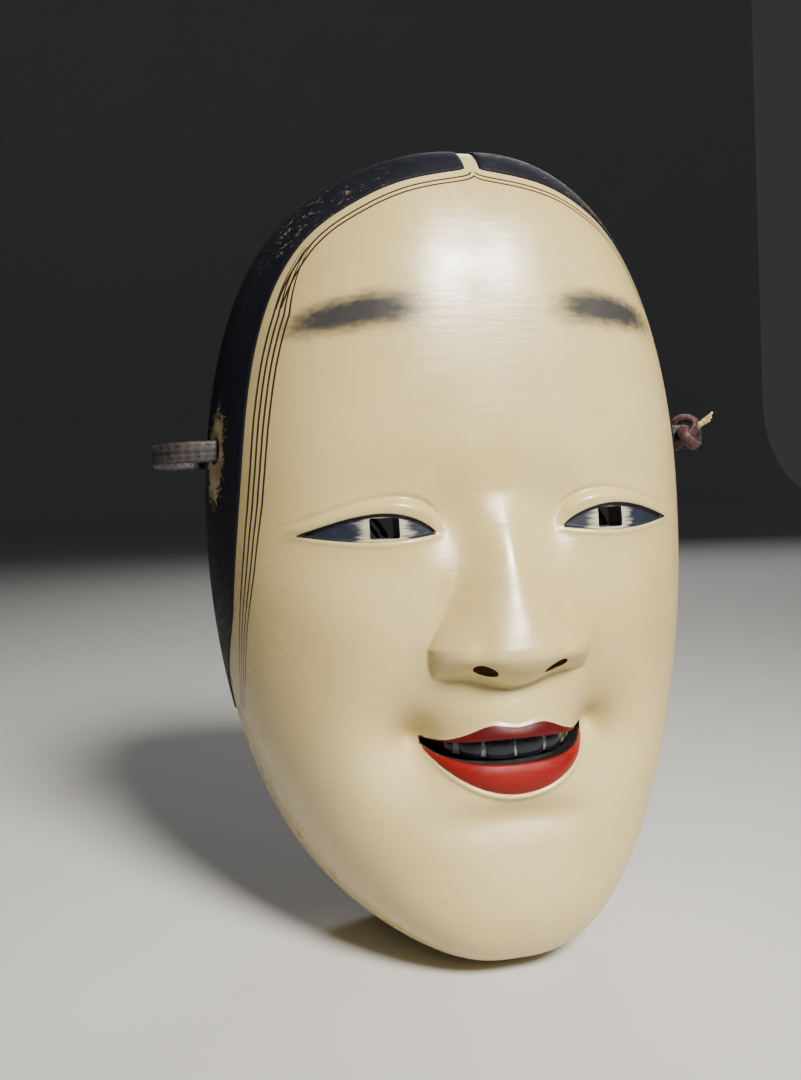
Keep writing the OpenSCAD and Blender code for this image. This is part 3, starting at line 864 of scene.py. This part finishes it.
def add_face_fields(piece):
    """What the material of the face draws: brows, strands of hair, and painted shade in the creases and
    towards the rim.
    """
    x, y, z = coordinates(piece)
    a = np.abs(x)
    u = (a - 33.6) / 17.2
    v = (z - 61.2 + 0.09 * (a - 34) + 0.0032 * (a - 34) ** 2) / (4.9 - 0.6 * u)
    add_field(piece, "brow", 1.3 - (np.abs(u) ** 3 + v**2) ** 0.5)
    away = hair_distance(x, z)
    add_field(piece, "strand_top", np.where(z > 64, away / STRAND_PITCH, NO_STRAND))
    spread_out = np.interp(z, [-42, -19, -3, 15, 63, 82], [0.22, 0.48, 0.76, 0.95, 1, 0.22])
    left = (x < 0) & (z < 81) & (z > HAIR_LOW_Z + 1)
    add_field(piece, "strand_side", np.where(left, away / (STRAND_PITCH * spread_out), NO_STRAND))
    buried = y - front(x, z, FACE_T)[:, 1]
    in_pupil = (np.abs(a - EYE_X) < PUPIL_W / 2 + 0.03) & (np.abs(z - EYE_Z) < PUPIL_H / 2 + 0.03)
    in_mouth = (a < MOUTH_HALF) & (z > lower_lip_top(x) - 0.03) & (z < upper_lip_low(x) + 0.03)
    walls = ease((buried - 0.2) / 0.3) * (np.abs(z) < 62) * (a < 45)
    add_field(piece, "ink", np.maximum(walls, in_pupil | in_mouth))
    matte = 2.2 * twin(x, z, 27, -49, 14, 14) + 0.8 * swell(x, z, 0, -73, 22, 7)
    add_field(piece, "matte", np.clip(matte, 0, 1))
    # Painted shade: in the creases beside the nose wings and under the lower lip, and towards the rim
    # where the face turns away from the light.
    crease_shade = 0.8 * twin(x, z, 22.5, -26, 2.2, 6) + 0.9 * swell(x, z, 0, -63.5, 17, 3)
    rim = ease((38 + y) / 38)
    add_field(piece, "hollow", np.clip(0.8 * crease_shade + 0.7 * rim, 0, 1))


def hollow_points(v, across, t, dimples=0.0):
    """The hollow behind, inset by t from the dome."""
    v, across = np.broadcast_arrays(v, across)
    f = np.radians(90 * np.clip(across, -1, 1))
    x = np.maximum(section_w(v) - t, 0.02) * np.sign(f) * np.abs(np.sin(f)) ** 0.67
    d = (section_d(v) - t) * np.clip(np.cos(f), 0, 1) ** 1.1
    z = (HALF_H - t) * np.sin(np.radians(v))
    inside = 7 * swell(x, z, 0, -22, 9, 13) - 11 * twin(x, z, 24.5, -46.5, 12, 13)
    return np.stack([x, -d - inside - dimples * np.clip(d / 12, 0, 1), z], -1)


def gouge_marks(x, z):
    """Shallow scoops of the gouge over the hollow, in rows that follow its length."""
    long, wide = 17.0, 7.5
    rows = np.round(x / wide)
    shift = long * ((rows * 0.381966) % 1)
    u = (x - rows * wide) / (wide / 2)
    w = ((z - shift + long / 2) % long - long / 2) / (long / 2)
    return np.clip(u**2 * 0.8 + w**2 * 0.5, 0, 1.2)


def hollow_grid():
    v = np.degrees(np.arcsin(np.linspace(-1, 1, 190) * math.sin(math.radians(89.7))))
    f = np.linspace(-1, 1, 150)
    return v[:, None], f[None, :]


def add_wood(openings):
    """The shell between the outer dome and the hollow, closed by the flat rim."""
    v, across = hollow_grid()
    outer = skin(v, np.sign(across) * np.abs(across) ** 1.1, -0.25)
    outer[[0, -1], :, 0] *= 0.01
    inner = hollow_points(v, across, WOOD_T - 0.1)
    outer[:, 0, 1] = outer[:, -1, 1] = inner[:, 0, 1] = inner[:, -1, 1] = 0
    sheet = closed_sheet(outer, inner)
    piece = add_mesh("wood_core_fine", sheet, hinoki(), ["wood_core"], openings)
    x, _, z = coordinates(piece)
    in_nose = (np.abs(x) < 16) & (z > -36) & (z < -12)
    add_field(piece, "ink", (np.abs(x) < 45) & (z > -62) & (z < 16) & ~in_nose)


def add_lining(openings):
    v, across = hollow_grid()
    smooth = hollow_points(v, across, WOOD_T + LINING_T)
    marks = gouge_marks(smooth[..., 0], smooth[..., 2])
    inner = hollow_points(v, across, WOOD_T + LINING_T, 0.45 * (1 - marks))
    outer = hollow_points(v, across, WOOD_T - 0.3)
    sheet = closed_sheet(outer, inner)
    piece = add_mesh("back_lacquer_fine", sheet, lacquer(), ["back_lacquer"], openings)
    x, _, z = coordinates(piece)
    add_field(piece, "ridge", gouge_marks(x, z))


def hair_share(v):
    """Where the hair's edge lies across the section at latitude v, as in skin."""
    z = HALF_H * np.sin(np.radians(v))
    x = np.minimum(section_w(v) * 0.98, np.maximum(PARTING_HALF, hairline(z)))
    share = np.arcsin(x / section_w(v)) / (np.pi / 2)
    low = np.clip((HAIR_TAPER_Z - z) / (HAIR_TAPER_Z - HAIR_LOW_Z), 0, 1) ** 2
    return share * (1 - low) + 0.985 * low


def add_hair(side, material, hole):
    """A black coat from the hairline to the rim, with a rounded edge."""
    name = f"hair_coat_{SIDES[side]}"
    heights = np.concatenate([np.arange(HAIR_LOW_Z, 90, 1.0), np.arange(90, 105.6, 0.35)])
    v = np.degrees(np.arcsin(heights / HALF_H))
    v = np.concatenate([v, [86.5, 88, 89.7]])[:, None]
    edge = hair_share(v)
    steps = np.concatenate([np.linspace(0, 0.08, 7)[:-1], np.linspace(0.08, 1, 46)])[None, :]
    across = side * (edge + (1 - edge) * steps)
    plain = skin(v, across, 0.0)
    from_edge = np.linalg.norm(plain - plain[:, :1], axis=-1)
    swollen = HAIR_T - (HAIR_T - FACE_T + 0.1) * (1 - np.clip(from_edge / 0.9, 0, 1)) ** 2
    sheet = closed_sheet(skin(v, across, swollen), skin(v, across, 0.3))
    piece = add_mesh(f"{name}_fine", sheet, material, [name], [hole])
    x, y, z = coordinates(piece)
    away = np.hypot((y - HOLE_Y) / 7.5, (z - HOLE_Z) / (12 + 4 * (z < HOLE_Z)))
    worn = 0.42 * np.clip(1.35 - away, 0, 1)
    outer = ease((np.abs(x) / hairline(z) - 1.03) / 0.08)
    high = 0.125 * swell(x, z, side * 40, 88, 30, 22) + 0.06 * outer
    add_field(piece, "worn", worn + high)


# ---- Eyes, lips and teeth ----


def curve_sheet(xs, count, low, high, g, t, tuck):
    """A painted layer between two curves, tucked down at its edge."""
    w = np.linspace(0, 1, count)[:, None]
    x = xs[None, :]
    z = low(x) + (high(x) - low(x)) * w
    rise = np.ones_like(z) * (g + t)
    rise[[0, -1]] = g - tuck
    rise[:, [0, -1]] = g - tuck
    return closed_sheet(front(x, z, rise), front(x, z, g - tuck - 0.2))


def add_eye(side, material, pupil):
    name = f"eye_coat_{SIDES[side]}"
    xs = side * np.linspace(EYE_IN + 0.2, EYE_OUT - 0.2, 150)
    sheet = curve_sheet(xs, 34, lower_lid, upper_lid, FACE_T, 0.16, 0.3)
    piece = add_mesh(f"{name}_fine", sheet, material, [name], [pupil])
    x, _, z = coordinates(piece)
    add_field(piece, "from_pupil", np.abs(np.abs(x) - EYE_X))
    add_field(piece, "under_lid", upper_lid(x) - z)
    add_field(piece, "over_lid", z - lower_lid(x))


def add_lip(name, low, high, up, reach, paint):
    """The pigment of one lip. Its outer edge is high where up is 1, and low where up is -1."""
    xs = MOUTH_HALF * np.sin(np.linspace(-np.pi / 2, np.pi / 2, 150)) * reach
    sheet = curve_sheet(xs, 40, low, high, FACE_T - 0.05, PIGMENT_T, 0.35)
    piece = add_mesh(f"{name}_fine", sheet, paint, [f"{name}_coat"])
    x, _, z = coordinates(piece)
    edge = high(x) if up > 0 else low(x)
    add_field(piece, "rim", up * (edge - z))


def add_lips():
    def low_edge(x):
        return upper_lip_low(x) - LIP_OVERHANG

    def high_edge(x):
        return lower_lip_top(x) + LIP_OVERHANG

    upper = lip_paint("crimson", (0.055, 0.002, 0.003), (0.105, 0.003, 0.005), (0.09, 0.008, 0.009))
    lower = lip_paint("vermilion", (0.17, 0.005, 0.004), (0.25, 0.008, 0.006), (0.60, 0.47, 0.26))
    add_lip("upper_lip", low_edge, upper_lip_top, 1, LIP_END, upper)
    add_lip("lower_lip", lower_lip_low, high_edge, -1, 0.97, lower)


def from_tooth_join(x):
    return np.abs(x[:, None] - TOOTH_JOINS[None, :]).min(1)


def add_teeth():
    """The upper teeth as one curved row, with a groove between each two."""
    xs = np.linspace(-TEETH_HALF, TEETH_HALF, 190)
    nearest = from_tooth_join(xs)
    room = np.interp(np.abs(xs), [0, 8, 14.2, 18.5], [4, 3.6, 2.8, 2.2])
    swollen = 0.75 * (1 - (1 - np.clip(nearest / room, 0, 1)) ** 3.0)
    top = upper_lip_low(xs) + 1.2
    low = teeth_low(xs) + 0.15 + 0.25 * (1 - np.clip(nearest / 1.2, 0, 1))
    face = -front(xs, upper_lip_low(xs), 0)[:, 1]
    rings = []
    for k, x in enumerate(xs):
        reach = face[k] - TEETH_DEEP + swollen[k]
        high, foot = top[k], low[k]
        body = foot + (high - foot) * np.array([0.0, 0.06, 0.2, 0.45, 0.75, 1.0])
        bulge = np.array([-0.55, -0.15, 0.10, 0.20, 0.05, -0.4])
        front_line = [(x, -(reach + b), h) for h, b in zip(body, bulge, strict=True)]
        back_line = [(x, -(reach - TEETH_T), high), (x, -(reach - TEETH_T), foot)]
        rings.append(front_line + back_line)
    piece = add_mesh("teeth_fine", tube(np.array(rings)), tooth_black(), ["teeth_coat"])
    add_field(piece, "from_gap", from_tooth_join(coordinates(piece)[0]))


# ---- Cords ----

LEFT_ROUTE = [
    (-55, -12, 30), (-60, -12, 30), (-66, -12, 30), (-71, -12, 30), (-75.9, -11, 30),
    (-80.1, -8.2, 29.9), (-82.9, -4, 29.7), (-83.9, 0.9, 29.4), (-82.9, 5.8, 29),
    (-80.1, 10, 28.7), (-75.9, 12.8, 28.5), (-71, 13.8, 28.3), (-66.5, 13.9, 27.2),
    (-62.9, 13.6, 24.4), (-60.6, 12.9, 20.4), (-59.6, 11.8, 15.6), (-59.3, 10.4, 10),
    (-59.2, 9.1, 4), (-59.2, 8.2, -1),
]
LEFT_WIDTH = [(0, 0, 1)] * 8 + [
    (0, 0.05, 1), (0.05, 0.1, 1), (0.1, 0.3, 1), (0.2, 0.5, 0.9), (0.3, 0.8, 0.7),
    (0.2, 1, 0.5), (0.1, 1, 0.3), (0, 1, 0.2), (0, 1, 0.1), (0, 1, 0), (0, 1, 0),
]


def hank_point(turn):
    """A point of the hank's winding, turn by turn inwards from the top of its outer run."""
    r = HANK_R + TURN_GAP * (HANK_TURNS - turn)
    half_turn = HANK_RUN + math.pi * r
    s = (turn % 1) * 2 * half_turn
    way = -1 if s < half_turn else 1
    s -= half_turn * (way > 0)
    a = max(0, s - HANK_RUN) / r
    up = min(s, HANK_RUN) - HANK_RUN / 2 + r * math.sin(a)
    return (-HANK_X + way * r * math.cos(a), HANK_Y, HANK_Z + way * up)


def cord_controls():
    """The whole left cord: its route, its turns in the hank, and its free end inside them."""
    steps = 36
    route = LEFT_ROUTE + [hank_point(k / steps) for k in range(HANK_TURNS * steps)]
    for k in range(7):
        t = k / 6
        inward = TIP_INWARD * t * t * (3 - 2 * t)
        route.append((-HANK_X - HANK_R + inward, HANK_Y, HANK_Z + HANK_RUN / 2 - 26 * t))
    widths = LEFT_WIDTH + [(0, 1, 0)] * (len(route) - len(LEFT_WIDTH))
    return np.concatenate([route, widths], 1)


def b_spline(controls, step):
    """A smooth curve that starts and ends at its first and last control points."""
    ends = np.concatenate([
        [2 * controls[0] - controls[1]], controls, [2 * controls[-1] - controls[-2]],
    ])
    spans = np.linalg.norm(np.diff(ends, axis=0), axis=1)
    made = []
    for i in range(1, len(ends) - 2):
        count = max(1, int(round(spans[i] / step)))
        t = (np.arange(count) / count)[:, None]
        p0, p1, p2, p3 = ends[i - 1:i + 3]
        made.append((
            (1 - t) ** 3 * p0 + (3 * t**3 - 6 * t**2 + 4) * p1
            + (-3 * t**3 + 3 * t**2 + 3 * t + 1) * p2 + t**3 * p3
        ) / 6)
    made.append([controls[-1]])
    return np.concatenate(made)


def cord_line(side):
    """Centre line and width direction of a cord, mirrored for the right side."""
    both = b_spline(cord_controls(), CORD_STEP)
    if side > 0:
        both[:, [0, 3]] *= -1
    return both[:, :3], both[:, 3:]


def unit(vectors):
    return vectors / np.linalg.norm(vectors, axis=1, keepdims=True)


def plait(run, u, pitch=2.6, columns=4):
    """Height of a flat plait, from 0 to 1: slanting stitches in columns across the width."""
    column = (u + 1) / 2 * columns
    which = np.floor(column)
    within = column - which
    slant = np.where(which % 2 == 0, within, 1 - within)
    stitch = (run / pitch + 0.5 * slant) % 1
    round_across = np.sin(np.pi * np.clip(within, 0, 1)) ** 0.6
    return round_across * (0.35 + 0.65 * np.sin(np.pi * stitch) ** 0.8)


def ribbon(line, width, wide, thick):
    """Rings of a flat braid along a line, with the plait raised on both faces."""
    along = unit(np.gradient(line, axis=0))
    flat = unit(width - along * (width * along).sum(1, keepdims=True))
    normal = np.cross(along, flat)
    run = np.concatenate([[0], np.cumsum(np.linalg.norm(np.diff(line, axis=0), axis=1))])
    angle = full_turn(36)
    c, s = np.cos(angle), np.sin(angle)
    u = np.sign(c) * np.abs(c) ** 0.8
    v = np.sign(s) * np.abs(s) ** 0.55
    raised = plait(run[:, None], u[None, :] * np.ones((len(run), 1)))
    across = wide / 2 * u[None, :] * (1 + 0.04 * (raised - 0.5))
    out = (thick / 2 - 0.12) * v[None, :] + 0.30 * (raised - 0.4) * v[None, :]
    rings = line[:, None] + across[..., None] * flat[:, None] + out[..., None] * normal[:, None]
    return rings, raised


def add_cord(side, material):
    """One braided cord from its knot inside the hole to its bound end."""
    name = SIDES[side]
    line, width = cord_line(side)
    rings, raised = ribbon(line, width, CORD_W, CORD_T)
    piece = add_mesh(f"braid_{name}", tube(rings), material, [f"cord_{name}", f"hank_{name}"])
    add_field(piece, "crown", np.concatenate([raised.ravel(), [0.5, 0.5]]))


def round_thread(line, radius, around):
    """Rings of a round thread along a line that never runs along the guide."""
    guide = np.array([0.31, 0.23, 0.92])
    along = unit(np.gradient(line, axis=0))
    side = unit(np.cross(along, guide))
    other = np.cross(along, side)
    angle = full_turn(around)[None, :, None]
    circle = side[:, None] * np.cos(angle) + other[:, None] * np.sin(angle)
    reach = np.broadcast_to(radius, (len(line),))
    return line[:, None] + circle * reach[:, None, None]


def add_tip(side, material):
    """The bound end: a close winding of thread."""
    name = f"cord_tip_{SIDES[side]}"
    centre = np.array([side * (HANK_X + HANK_R - TIP_INWARD), HANK_Y, HANK_Z - 9])
    run = np.linspace(4.5, -4.5, 110)
    line = centre + np.stack([0 * run, 0 * run, run], 1)
    wound = 1.42 + 0.16 * np.abs(np.sin(np.pi * run / 0.62))
    wound = wound * np.clip(1.2 - 0.25 * np.abs(run / 4.5) ** 8, 0, 1.05)
    return add_mesh(f"{name}_fine", tube(round_thread(line, wound, 24)), material, [name])


def add_tie(side, material):
    """Thread wound round the top of the hank."""
    name = f"hank_tie_{SIDES[side]}"
    middle = HANK_R + HANK_TURNS * TURN_GAP / 2
    thick = (HANK_TURNS + 1) * TURN_GAP
    centre = np.array([side * HANK_X, HANK_Y, HANK_Z + HANK_RUN / 2 + middle])
    turns, steps = 5, 44
    t = np.arange(turns * steps + 1) / steps
    a = 2 * np.pi * t
    half_y, half_z = CORD_W / 2 + 0.55, thick / 2 + 0.35
    y = half_y * np.sign(np.cos(a)) * np.abs(np.cos(a)) ** 0.35
    z = half_z * np.sign(np.sin(a)) * np.abs(np.sin(a)) ** 0.35
    x = (t / turns - 0.5) * 4.2
    thread = round_thread(centre + np.stack([x, y, z], 1), 0.44, 10)
    add_mesh(f"{name}_fine", tube(thread), material, [name])


def knot_line(centre, size, turn):
    """An overhand knot: a closed trefoil scaled to size, its flat side towards the hole."""
    t = np.linspace(0, 2 * np.pi, 221)[:-1]
    x = np.sin(t) + 2 * np.sin(2 * t)
    y = np.cos(t) - 2 * np.cos(2 * t)
    z = -np.sin(3 * t)
    c, s = math.cos(turn), math.sin(turn)
    points = np.stack([z * 1.2, (x * c - y * s) / 3, (x * s + y * c) / 3], 1)
    return centre + points * np.asarray(size)


def add_knot(name, centre, size, strand, turn, material, node):
    """A knot tied in the braid, its strand plaited too."""
    line = knot_line(np.asarray(centre, float), size, turn)
    along = unit(np.roll(line, -1, 0) - np.roll(line, 1, 0))
    outwards = line - centre
    outwards = unit(outwards - along * (outwards * along).sum(1, keepdims=True))
    across = np.cross(along, outwards)
    around = 24
    angle = full_turn(around)
    run = np.cumsum(np.linalg.norm(np.diff(line, axis=0, append=line[:1]), axis=1))
    whole = run[-1] / round(run[-1] / 1.9)
    raised = plait(run[:, None], np.cos(angle)[None, :] * np.ones((len(run), 1)), whole)
    wide = strand * 0.95 * (1 + 0.10 * (raised - 0.5))
    high = strand * 0.60 * (1 + 0.30 * (raised - 0.5))
    rings = (
        line[:, None] + across[:, None] * (wide * np.cos(angle))[..., None]
        + outwards[:, None] * (high * np.sin(angle))[..., None]
    )
    shape = rings.reshape(-1, 3), ring_quads(len(line), around, closed=True)
    piece = add_mesh(name, shape, material, [node])
    add_field(piece, "crown", raised.ravel())


def add_tail(material):
    """The short end of the outer knot: thin gilt threads that splay from its binding."""
    start = np.array([76.5, HOLE_Y - 2.0, HOLE_Z + 2.2])
    heading = np.array([0.80, -0.25, 0.55])
    threads = []
    for k in range(9):
        a = 2.4 * k
        lean = 0.22 * math.sqrt(k / 9)
        reach = 5.2 - 0.35 * (k % 3)
        splay = np.array([0.3 * math.sin(a), math.cos(a), math.sin(a)]) * lean
        t = np.linspace(0, 1, 12)[:, None]
        line = start + 0.75 * splay * 4 + heading * reach * t + splay * 3.4 * t**2
        thick = 0.52 * (1 - 0.35 * t[:, 0] ** 2) * (1 + 0.12 * np.sin(22 * t[:, 0] + k))
        points, quads, ends = tube(round_thread(line, thick, 8))
        first = k * len(points)
        threads.append((points, quads + first, ends + first))
    shape = [np.concatenate(part) for part in zip(*threads, strict=True)]
    add_mesh("knot_tail_right_fine", shape, material, ["knot_tail_right"])


# ---- Pads ----


def add_pad(name, x, z, wide, high, deep, material):
    """A stuffed pad: crowned, pinched in between its corners, with a sewn edge and tufts."""
    low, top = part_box(name)
    middle_y = (low.y + top.y) / 2 / MM
    u, v = np.meshgrid(np.linspace(-1, 1, 90), np.linspace(-1, 1, 60), indexing="ij")
    square_u = u * np.sqrt(1 - v**2 / 2.6)
    square_v = v * np.sqrt(1 - u**2 / 2.6)
    r = np.clip(np.maximum(np.abs(u), np.abs(v)), 0, 1)
    crown = (1 - r**4) ** 0.55
    creases = 0.05 * np.sin(9 * np.arctan2(v, u)) * r**2 * (1 - r)
    tufts = 0.35 * swell(u, v, -0.45, 0, 0.16, 0.22) + 0.35 * swell(u, v, 0.45, 0, 0.16, 0.22)
    face = deep / 2 * np.clip(crown - tufts + creases, 0, 2)
    px = x + square_u * wide / 2 * 1.08
    pz = z + square_v * high / 2 * 1.08
    middle = middle_y + (px - x) ** 2 / 320 - deep * 0.10
    back = middle + 0.62 * face
    fore = middle - 0.62 * face - 0.01
    sheet = closed_sheet(np.stack([px, fore, pz], -1), np.stack([px, back, pz], -1))
    piece = add_mesh(f"{name}_fine", sheet, material, [name])
    seam = np.clip((r - 0.90) / 0.06, 0, 1).ravel()
    add_field(piece, "seam", np.concatenate([seam, seam]))


# ---- The whole mask ----

set_camera(
    azimuth=-16.92, elevation=3.53, distance=0.2866, yaw=4.02, pitch=-0.69, roll=-2.60, lens=34.95,
)
set_stage()
add_light("key", 15, 37, 1.0, 0.30, 2.8, (1.0, 0.95, 0.86), 56)
add_light("fill", 65, 14, 1.3, 0.8, 0.4, (1.0, 0.97, 0.93))
add_light("back", 150, 35, 1.5, 0.7, 6, (1.0, 0.97, 0.93))

braid_silk = silk("braid", (0.006, 0.005, 0.007), (0.034, 0.028, 0.032), (0.25, 0.23, 0.24))
gold_thread = gilt()
for side in SIDES:
    tip = add_tip(side, gold_thread)
    add_cord(side, braid_silk)
    add_tie(side, gold_thread)
    add_knot(
        f"inner_knot_{side}", (side * 51, HOLE_Y, HOLE_Z), (3.0, 3.2, 4.0), 1.5, 0.4, braid_silk,
        f"inner_knot_{SIDES[side]}",
    )
knot_silk = silk("knot_silk", (0.020, 0.007, 0.008), (0.10, 0.032, 0.030), (0.4, 0.30, 0.25))
add_knot(
    "outer_knot_right_fine", (73.5, HOLE_Y, HOLE_Z), (1.9, 4.6, 5.0), 1.8, 1.1, knot_silk,
    "outer_knot_right",
)
add_tail(gold_thread)

pupils = {side: pupil_cutter(side) for side in SIDES}
nostrils = {side: nostril_cutter(side) for side in SIDES}
holes = {side: hole_cutter(side) for side in SIDES}
mouth, slot = mouth_cutter(), mouth_slot()

through = [*pupils.values(), *nostrils.values(), *holes.values(), mouth]
add_face(through)
add_wood([*through, slot])
add_lining([*pupils.values(), *holes.values(), slot])
black = hair_black()
iris = eye_paint()
for side in SIDES:
    add_hair(side, black, holes[side])
    add_eye(side, iris, pupils[side])
add_lips()
add_teeth()

cloth = pad_silk()
add_pad("forehead_pad", 0, 62, 46, 16, 11, cloth)
for side in SIDES:
    add_pad(f"cheek_pad_{SIDES[side]}", side * 30, -22, 15, 26, 10, cloth)

for opening in [*through, slot]:
    bpy.data.objects.remove(opening)
